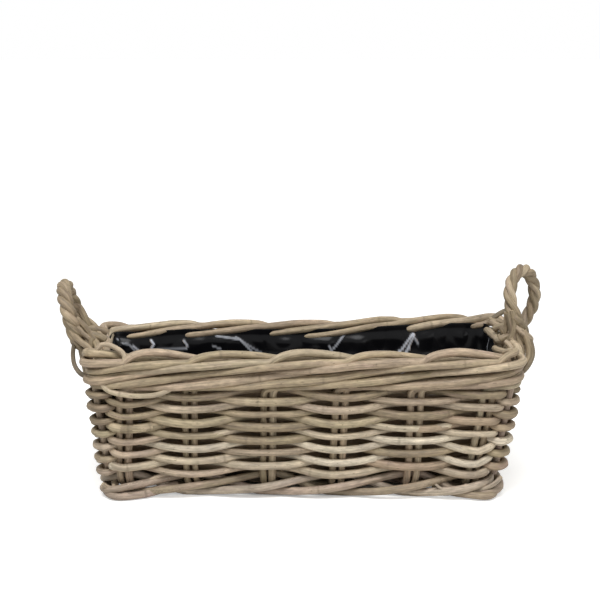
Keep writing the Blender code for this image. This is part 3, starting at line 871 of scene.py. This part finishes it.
def footPaths():
    found = []
    heights, outs, swells = foot["heights"], foot["outs"], foot["swells"]
    for strand in range(3):
        path, widths = [], []
        radius = foot["radius"] * draw.uniform(*foot["radiusSpread"])
        for k in range(len(pairs) + 1):
            low, high = pairRun(k, foot["level"]), pairRun(k + 1, foot["level"])
            phase = (k + strand) % 3
            following = (phase + 1) % 3
            for step in range(foot["steps"]):
                share = step / foot["steps"]
                eased = smooth(share)
                z = between(heights[phase], heights[following], eased if phase == 0 else share)
                out = between(outs[phase], outs[following], eased)
                if phase == 1:
                    out += foot["bulge"] * sin(pi * share)
                point = wallPoint(between(low, high, share), max(z, foot["lowest"]), out)
                reach = fade(point.y, *foot["reachY"]) * fade(z, *foot["reachZ"])
                point.y -= follow(foot["reach"], point.x) * reach
                path.append(point)
                swell = between(swells[phase], swells[following], eased)
                widths.append(radius * between(foot["waist"], 1, swell))
        found.append((path, widths))
    for side in (-1, 1):
        lobe = [Vector((x * side, y, z)) for x, y, z in foot["lobe"]]
        found.append((smoothLine(lobe, 60), foot["lobeRadius"]))
    return found + [rodSeenAt(*end) for end in foot["ends"]]


def fillerPaths():
    found = []
    count = base["fillersPerBay"]
    ends = range(basket["longSidePairs"], basket["longSidePairs"] + basket["endPairs"])
    places = [pairPoint(pair, basket["baseHeight"], 0).y for pair in ends]
    for k, (low, high) in enumerate(zip(places, places[1:])):
        for i in range(count):
            y = between(low + base["fillerClear"], high - base["fillerClear"], (i + 0.5) / count)
            found.append((crossingPoints(y, (-1) ** (k + 1 + i), base["fillerOver"]), base["fillerRadius"]))
    return found


makeRods("footWale", footPaths(), "Foot", "foot_rattan", "foot_strand", Step=0.004)
makeRods("baseWeave", fillerPaths(), "Stake", "filler_rattan", "base_filler", Step=0.005)
print("foot and base made")

rope = {
    "legHalf": 0.026,
    "halfWidth": 0.031,
    "neck": 0.011,
    "turns": 4,
    "strands": 3,
    "steps": 120,
    "radius": 0.0043,
    "apart": 0.0037,
    "legOut": 0.0158,
    "legSteps": 8,
    # height and depth of the outer strands' ends, hooked in under the border
    "outerTail": ((0.1350, 0.0150), (0.1290, 0.0140), (0.1250, 0.009), (0.1250, -0.005)),
    "innerTurn": 0.75 * pi,
    "bodyRadius": 0.0118,  # of the rolled edge that the windings lie on
    "bodyHeight": 0.1660,
    "bodyFrom": -0.08,
    "bodyStep": 0.005,
    "bodyCount": 70,
    "windingDepths": (-0.112, 0.088),
    "windingTries": 60,
    "windingStep": 0.010,  # how far a winding goes back or forward from one named pixel to the next
}
# The windings are the strands' ends wound round the rim: pixels of the photograph, radius and tint.
handles = {
    "left": {
        "side": -1,
        "wall": 3,
        "stand": 0.0172,
        "rise": 0.075,
        "lean": radians(18.7),
        "turn": 0.0,
        "thick": 1.16,
        "windings": (
            (((80, 315), (90, 322), (96, 328), (100, 336), (102, 346)), 0.0034, 0.7),
            (((76, 303), (81, 312), (86, 322), (91, 334)), 0.0040, 0.3),
            (((76, 318), (84, 326), (90, 334), (96, 341), (101, 350)), 0.0034, 0.35),
            (((73, 322), (80, 331), (88, 338), (95, 346), (97, 352)), 0.0034, 0.85),
            (((69, 325), (73, 333), (80, 341), (88, 347), (93, 352)), 0.0036, 0.5),
            (((72, 335), (76, 342), (82, 349), (86, 355)), 0.0034, 0.15),
            (((85, 334), (84, 342), (86, 350)), 0.0036, 0.2),
            (((92, 338), (91, 346), (92, 352)), 0.0036, 0.4),
            # painted shade: tint 0, the darkest, because this loop lies in shadow
            (((77, 337), (74, 346), (73, 356), (75, 366), (81, 374), (90, 378)), 0.0027, 0.0),
            (
                ((97, 350), (102, 345), (109, 345), (116, 348), (122, 352), (125, 357), (124, 361)),
                0.0029, 1.0,
            ),
        ),
    },
    "right": {
        "side": 1,
        "wall": 1,
        "stand": 0.0217,
        "rise": 0.090,
        "lean": radians(-3.3),
        "turn": radians(48),
        "thick": 1.0,
        "windings": (
            (((489, 320), (497, 324), (505, 329), (513, 335), (519, 342)), 0.0033, 0.75),
            (((496, 321), (503, 325), (509, 331)), 0.0040, 0.1),
            (((492, 320), (498, 315), (504, 311), (510, 309)), 0.0032, 0.0),
            (((506, 312), (506, 319), (506, 326), (505, 334)), 0.0028, 0.4),
            (((508, 313), (510, 322), (512, 332), (513, 342)), 0.0040, 0.1),
            (((500, 327), (505, 333), (509, 339), (513, 346)), 0.0038, 0.2),
            (((512, 310), (514, 320), (513, 332), (509, 341)), 0.0036, 0.25),
            (((498, 334), (501, 340), (502, 350)), 0.0022, 0.9),
            (((505, 341), (510, 346), (514, 353), (517, 360)), 0.0032, 1.0),
            (((516, 330), (518, 340), (521, 349), (521, 358)), 0.0038, 0.3),
            (((510, 338), (514, 345), (518, 352)), 0.0036, 0.5),
            (((524, 330), (527, 340), (529, 350), (527, 360), (521, 368)), 0.0036, 0.45),
            (((528, 335), (532, 345), (533, 355), (529, 365), (523, 372)), 0.0028, 0.1),
        ),
    },
}


# A rod along pixels of the photograph that lies on the body, a list of points with a radius each.
def windingPath(pixels, radius, tint, body):
    depths = []
    for pixel in pixels:
        found = []
        for k in range(rope["windingTries"] + 1):
            y = between(*rope["windingDepths"], k / rope["windingTries"])
            if depths and abs(y - depths[-1]) > rope["windingStep"]:
                continue
            spot = seenAt(pixel, y)
            away = min((spot - centre).length - girth for centre, girth in body)
            found.append((max(away, 0), y))
        depths.append(min(found)[1])
    for _ in range(2):
        near = [depths[max(k - 1, 0):k + 2] for k in range(len(depths))]
        depths = [sum(three) / len(three) for three in near]
    spots = [seenAt(p, y) for p, y in zip(pixels, depths)]
    return smoothLine(spots, 8 * len(pixels)), radius, tint


# The middle line and the twisted strands of one loop.
def ropePaths(spec):
    sign, level, steps = spec["side"], basket["runLevel"], rope["steps"]
    origin = Vector((sign * (halfLength(level) + spec["stand"]), 0, level))
    rising = Vector((sign * sin(spec["lean"]), 0, cos(spec["lean"])))
    sideways = Vector((0, sign, 0))
    out = sideways.cross(rising)
    lowTurn = acos(rope["legHalf"] / rope["halfWidth"])
    tall = (spec["rise"] - rope["neck"]) / (1 + sin(lowTurn))
    line, tilts = [], []
    for k in range(steps + 1):
        angle = between(-lowTurn, pi + lowTurn, k / steps)
        height = spec["rise"] - tall + tall * sin(angle)
        part = (height - rope["neck"]) / (spec["rise"] - rope["neck"])
        turned = spec["turn"] * sin(pi / 2 * part)
        across = sideways * cos(turned) + out * sin(turned)
        line.append(origin + rising * height + across * (rope["halfWidth"] * cos(angle)))
        tilts.append(out * cos(turned) - sideways * sin(turned))
    strands = [[] for _ in range(rope["strands"])]
    for k, (point, tilt) in enumerate(zip(line, tilts)):
        ahead = (line[min(k + 1, steps)] - line[max(k - 1, 0)]).normalized()
        first = (tilt - ahead * tilt.dot(ahead)).normalized()
        for n, strand in enumerate(strands):
            twist = -2 * pi * (rope["turns"] * k / steps + n / rope["strands"])
            away = first * cos(twist) + ahead.cross(first) * sin(twist)
            strand.append(point + away * rope["apart"] * spec["thick"])
    return line, strands


# From the loop's neck round the rolled border to its side.
def legPath(top, sign, target, tail):
    y = copysign(rope["legHalf"], top.y)
    height, steps = basket["runLevel"], rope["legSteps"]
    level = halfLength(height)
    out = top.x * sign - level
    start, reach = atan2(top.z - height, out), hypot(top.z - height, out)
    points = []
    for k in range(1, steps + 1):
        part = k / steps
        turn = between(start, target, part)
        far = between(reach, rope["legOut"], min(1, 1.6 * part))
        x = sign * (level + far * cos(turn))
        points.append(Vector((x, between(top.y, y, part), height + far * sin(turn))))
    return points + [Vector((sign * (halfLength(z) + depth), y, z)) for z, depth in tail]


def handlePaths(spec):
    sign = spec["side"]
    line, (outer, inner, core) = ropePaths(spec)
    radius = rope["radius"] * spec["thick"]
    found = []
    for strand, target, tail in ((outer, 0, rope["outerTail"]), (inner, rope["innerTurn"], ())):
        first, last = [legPath(strand[end], sign, target, tail) for end in (0, -1)]
        found.append((first[::-1] + strand + last, radius))
    found.append((core, radius))
    body = [(point, rope["apart"] + radius) for point in line[::3]]
    for k in range(rope["bodyCount"]):
        run = sideStarts[spec["wall"]] + rope["bodyStep"] * k + rope["bodyFrom"]
        body.append((wallPoint(run, rope["bodyHeight"], 0), rope["bodyRadius"]))
    return found + [windingPath(*winding, body) for winding in spec["windings"]]


handleChanges = {"Path wave": 0.0005, "Width wave": 0.1, "Step": 0.0026, "Sides": 12}
for name, spec in handles.items():
    piece = "handle" + name.capitalize()
    makeRods(piece, handlePaths(spec), "Handle", "handle_rattan", "handle_" + name, **handleChanges)
print("handles made")

liner = {
    "low": 0.0245,
    "high": 0.1600,
    "inset": 0.0144,
    "topInset": 0.0110,  # above the courses
    "insetZ": (0.126, 0.136),
    "rearHigher": 0.0030,
    "higherY": (0, 0.05),
    "higherZ": (0.13, 0.16),
    "corner": 0.012,
    "film": 0.0004,
    "across": 760,  # points round the wall
    "rearShare": 0.56,
    "up": 46,
    "upPower": 2.5,  # rings are closer together near the top, where the film shows
    "floorRings": (0.92, 0.82, 0.68, 0.5, 0.3, 0.12),
    "fold": 0.0036,
    "crinkle": 0.0012,
    "calmZ": (0.146, 0.156),  # the edge is held by the border
    "calm": 0.85,
    "edgeWave": 0.0020,
    "floorWave": 0.0025,
    "ridge": 0.0016,
    "creaseWidth": 0.0011,
    "creaseLevel": 0.145,
    # chance creases on the other walls: between which values of the noise they fade in, width, brightness of
    # their painted highlight
    "chanceNoise": (0.15, 0.45),
    "chanceWidth": 0.03,
    "chanceCreaseHighlight": 0.6,
    "roughness": 0.20,
    "specular": 0.13,
    "facetBump": 0.12,
    "facetDepth": 0.010,
    "colour": "#0c0c0e",
    "paintedGapLight": "#85725d",  # painted light: on the outer side, which shows between the courses, a brown that makes the gaps look lit
    # painted highlight: the pale colour along the creases stands in for light caught on the crinkles
    "paintedCreaseHighlight": "#c4c7cf",
    # creases on the rear wall, in pixels of the photograph, each with how bright its painted highlight is and
    # how high its ridge stands
    "creases": (
        (((112, 339), (116, 341)), 0.6), (((122, 344), (129, 345), (135, 350)), 0.4),
        (((133, 346), (140, 351)), 0.6), (((151, 342), (154, 345), (151, 350)), 1.0),
        (((157, 350), (186, 349), (188, 346), (184, 342)), 0.6), (((216, 338), (240, 341), (253, 352)), 0.55),
        (((213, 346), (221, 349)), 0.5), (((236, 339), (247, 345), (262, 353)), 0.35),
        (((324, 356), (336, 346), (348, 331)), 0.6), (((329, 346), (332, 351)), 0.5),
        (((393, 356), (402, 348), (413, 335)), 1.0), (((396, 352), (405, 352), (414, 336)), 0.9),
        (((395, 355), (400, 357), (409, 347)), 0.8), (((412, 336), (418, 343)), 0.5),
        (((489, 334), (492, 341)), 0.35), (((488, 347), (494, 351)), 0.3), (((483, 353), (486, 358)), 0.4),
    ),
}


# Black polyethylene film, blown: a thin glossy skin with long soft folds and creases, pale painted highlights
# along the creases, and a brown painted on the outside as light in the gaps between the courses.
def filmMaterial():
    material, shader, add = newMaterial("blackPolyethyleneFilm")
    place = add("TexCoord").outputs["Object"]
    creaseAndHighlight = add("Attribute", attribute_name="creaseAndHighlight").outputs["Fac"]
    bent = add("TexNoise", {"Vector": place, "Scale": 14.0, "Detail": 2.0}).outputs["Color"]
    warped = add("VectorMath", bent, (0.07, 0.07, 0.07), place, operation="MULTIPLY_ADD")
    facets = add("TexVoronoi", {"Vector": warped, "Scale": 22.0}, feature="F1").outputs["Distance"]
    bump = add("Bump", {"Height": facets, "Strength": liner["facetBump"], "Distance": liner["facetDepth"]})
    level = add("VectorMath", place, (1, 1, 0), operation="MULTIPLY")
    facing = add("NewGeometry").outputs["True Normal"]
    outward = add("VectorMath", level, facing, operation="DOT_PRODUCT").outputs["Value"]
    isOuter = add("Math", outward, 0.02, operation="GREATER_THAN")
    shade = linear(liner["colour"])
    # painted light: brown on the outer face lightens the gaps; painted highlights: pale along the creases
    for share, colour in ((isOuter, liner["paintedGapLight"]), (creaseAndHighlight, liner["paintedCreaseHighlight"])):
        shade = add("Mix", {0: share, 6: shade, 7: linear(colour)}, data_type="RGBA").outputs[2]
    wire(shader, {"Base Color": shade, "Roughness": liner["roughness"], "IOR": 1.51})
    wire(shader, {"Specular IOR Level": liner["specular"], "Normal": bump})
    return material


# Places round the wall, closest together along the rear, where the creases show.
rearCount = round(liner["across"] * liner["rearShare"])
otherCount = liner["across"] - rearCount
linerRuns = [sideStarts[2] + sideRuns[2] * k / rearCount for k in range(rearCount)]
for k in range(otherCount):
    linerRuns.append((sideStarts[3] - cornerArc + (wayRound - sideRuns[2]) * k / otherCount) % wayRound)


def linerRing(z, inset):
    hx, hy = halfLength(z) - inset, halfWidth(z) - inset
    corner = liner["corner"]
    found = []
    for at in linerRuns:
        side = sideOf(at)
        along, outward = sides[side]
        ahead, aside = ((hy, hx) if side % 2 else (hx, hy))
        rest = at - sideStarts[side]
        if rest <= sideRuns[side]:
            flat = along * ((ahead - corner) * (2 * rest / sideRuns[side] - 1)) + outward * aside
            facing = outward
        else:
            turn = (rest - sideRuns[side]) / cornerArc * pi / 2
            facing = outward * cos(turn) + along * sin(turn)
            flat = along * (ahead - corner) + outward * (aside - corner) + facing * corner
        found.append((flat + up * z, facing))
    return found


creaseLines = []
for pixels, strength in liner["creases"]:
    spots = [seenAt(p, halfWidth(liner["creaseLevel"]) - liner["topInset"]).xz for p in pixels]
    creaseLines += [(a, b, strength) for a, b in zip(spots, spots[1:])]


def creaseAt(point, facing):
    # the creases that show on the rear wall, and chance ones on the others, as ridges and as painted
    # highlights
    if facing.y > 0.7:
        found = 0
        for start, end, strength in creaseLines:
            run, place = end - start, point.xz - start
            away = (place - run * limit(place.dot(run) / run.length_squared)).length
            found = max(found, strength * smooth(1 - away / liner["creaseWidth"] + 0.4))
        return found
    line = abs(noise(point * 19 + Vector((5, 9, 1))))
    there = fade(noise(point * 12 + Vector((2, 8, 4))), *liner["chanceNoise"])
    return liner["chanceCreaseHighlight"] * smooth(1 - line / liner["chanceWidth"]) * there


def crumple(point, facing, share):
    # folds of the loose film, always inward of its place
    broad = noise(Vector((point.x * 16, point.y * 16, point.z * 7 + 3)))
    ridged = abs(noise(point * 22 + Vector((3, 1, 7))))
    small = abs(noise(point * 50 + Vector((11, 5, 2))))
    depth = liner["fold"] * (0.5 + broad * 0.5 + ridged) + liner["crinkle"] * small * 2
    calm = 1 - liner["calm"] * fade(point.z, *liner["calmZ"])
    return point - facing * max(0, depth) * smooth(share) * calm


def makeLiner():
    bm = bmesh.new()
    layer = bm.verts.layers.float.new("creaseAndHighlight")

    def stitch(low, high):
        for k in range(len(low)):
            j = (k + 1) % len(low)
            bm.faces.new((low[k], low[j], high[j], high[k]))

    rings = []
    for level in range(liner["up"] + 1):
        share = 1 - (1 - level / liner["up"]) ** liner["upPower"]
        z = between(liner["low"], liner["high"], share)
        ring = []
        inset = between(liner["inset"], liner["topInset"], fade(z, *liner["insetZ"]))
        for point, facing in linerRing(z, inset):
            edge = liner["edgeWave"] * noise(point * 30) if level == liner["up"] else 0
            # a crease is both a ridge and the mask of a painted highlight
            creaseAndHighlight = creaseAt(point, facing) if share > 0.1 else 0
            place = crumple(point, facing, 0.25 + share) - facing * liner["ridge"] * creaseAndHighlight
            place.z += liner["rearHigher"] * fade(point.y, *liner["higherY"]) * fade(z, *liner["higherZ"])
            vertex = bm.verts.new(settled(place + up * edge))
            vertex[layer] = creaseAndHighlight
            ring.append(vertex)
        rings.append(ring)
    for low, high in zip(rings, rings[1:]):
        stitch(low, high)
    inner = rings[0]  # the floor closes in rings towards the middle
    for share in liner["floorRings"]:
        ring = []
        for vertex in rings[0]:
            place = Vector((vertex.co.x * share, vertex.co.y * share, liner["low"]))
            ring.append(bm.verts.new(place + up * liner["floorWave"] * abs(noise(place * 30))))
        stitch(ring, inner)
        inner = ring
    bm.faces.new(inner[::-1])
    bmesh.ops.recalc_face_normals(bm, faces=bm.faces)
    mesh = bpy.data.meshes.new("linerFilm")
    bm.to_mesh(mesh)
    bm.free()
    mesh.shade_smooth()
    mesh.materials.append(filmMaterial())
    piece = addObject("linerFilm", mesh)
    wall = piece.modifiers.new("film", "SOLIDIFY")
    wall.thickness = liner["film"]
    wall.offset = 1
    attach(piece, "root")
    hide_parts("liner")


makeLiner()
print("liner made")

studio = {
    "floorHalf": 60.0,
    "floorColour": "#f2f2f0",
    "floorGlow": 0.47,
    "farGlow": 0.75,
    "glowReach": (0.8, 2.4),  # metres from the basket
    "shadowHalf": (0.24, 0.085),  # of the dark patch under the basket
    "shadowFade": (0.7, 1.0),
    "worldLight": 0.42,
    # place, aim, size and power
    "lamps": {
        "softKey": ((-0.15, -0.85, 1.9), (0, 0, 0.1), (1.5, 0.9), 36.0),
        "softFill": ((1.3, -1.4, 0.7), (0, 0, 0.1), (1.0, 1.0), 5.0),
    },
}


def makeFloor():
    mesh = bpy.data.meshes.new("studioFloor")
    half = studio["floorHalf"]
    corners = [(x * half, y * half, 0) for x, y in ((-1, -1), (1, -1), (1, 1), (-1, 1))]
    mesh.from_pydata(corners, [], [(0, 1, 2, 3)])
    material, shader, add = newMaterial("palePaintedFloor")  # matt white studio paint
    place = add("TexCoord").outputs["Object"]
    away = add("VectorMath", place, operation="LENGTH").outputs["Value"]
    near, far = studio["glowReach"]
    inputs = {"From Min": near, "From Max": far, "To Min": studio["floorGlow"], "To Max": studio["farGlow"]}
    glow = add("MapRange", {"Value": away, **inputs})
    wide, deep = studio["shadowHalf"]
    under = add("VectorMath", place, (1 / wide, 1 / deep, 0), operation="MULTIPLY")
    under = add("VectorMath", under, operation="LENGTH").outputs["Value"]
    start, end = studio["shadowFade"]
    under = add("MapRange", {"Value": under, "From Min": start, "From Max": end})
    for factor in (under, add("LightPath").outputs["Is Camera Ray"]):
        glow = add("Math", glow, factor, operation="MULTIPLY")
    wire(shader, {"Base Color": linear(studio["floorColour"]), "Roughness": 0.9})
    wire(shader, {"Emission Color": (1, 1, 1, 1), "Emission Strength": glow})
    mesh.materials.append(material)
    ground = addObject("studioFloor", mesh)


def makeWorld():
    world = bpy.data.worlds.new("studioWorld")
    bpy.context.scene.world = world
    world.use_nodes = True
    world.node_tree.nodes.clear()
    add = partial(addNode, world.node_tree)
    path = add("LightPath").outputs
    seen = add("Math", path["Is Camera Ray"], path["Is Glossy Ray"], operation="MAXIMUM")
    seen = add("Math", seen, path["Is Transmission Ray"], operation="MAXIMUM")
    strength = add("MapRange", {"Value": seen, "To Min": studio["worldLight"], "To Max": 1.0})
    light = add("Background", {"Color": (1, 1, 1, 1), "Strength": strength})
    add("OutputWorld", {"Surface": light})


def addLamp(name, place, aim, size, power):
    data = bpy.data.lights.new(name, "AREA")
    data.shape = "RECTANGLE"
    data.size, data.size_y = size
    data.energy = power
    lamp = addObject(name, data)
    lamp.location = place
    lamp.rotation_euler = (Vector(aim) - Vector(place)).to_track_quat("-Z", "Y").to_euler()


def addCamera():
    data = bpy.data.cameras.new("photoCamera")
    data.lens = camera["lens"]
    data.sensor_width = camera["sensor"]
    eye = addObject("photoCamera", data)
    eye.location = camera["place"]
    eye.rotation_euler = (camera["tilt"], 0, 0)
    bpy.context.scene.camera = eye


makeFloor()
makeWorld()
for name, lamp in studio["lamps"].items():
    addLamp(name, *lamp)
addCamera()
bpy.context.scene.view_settings.view_transform = "Standard"
print("scene done")
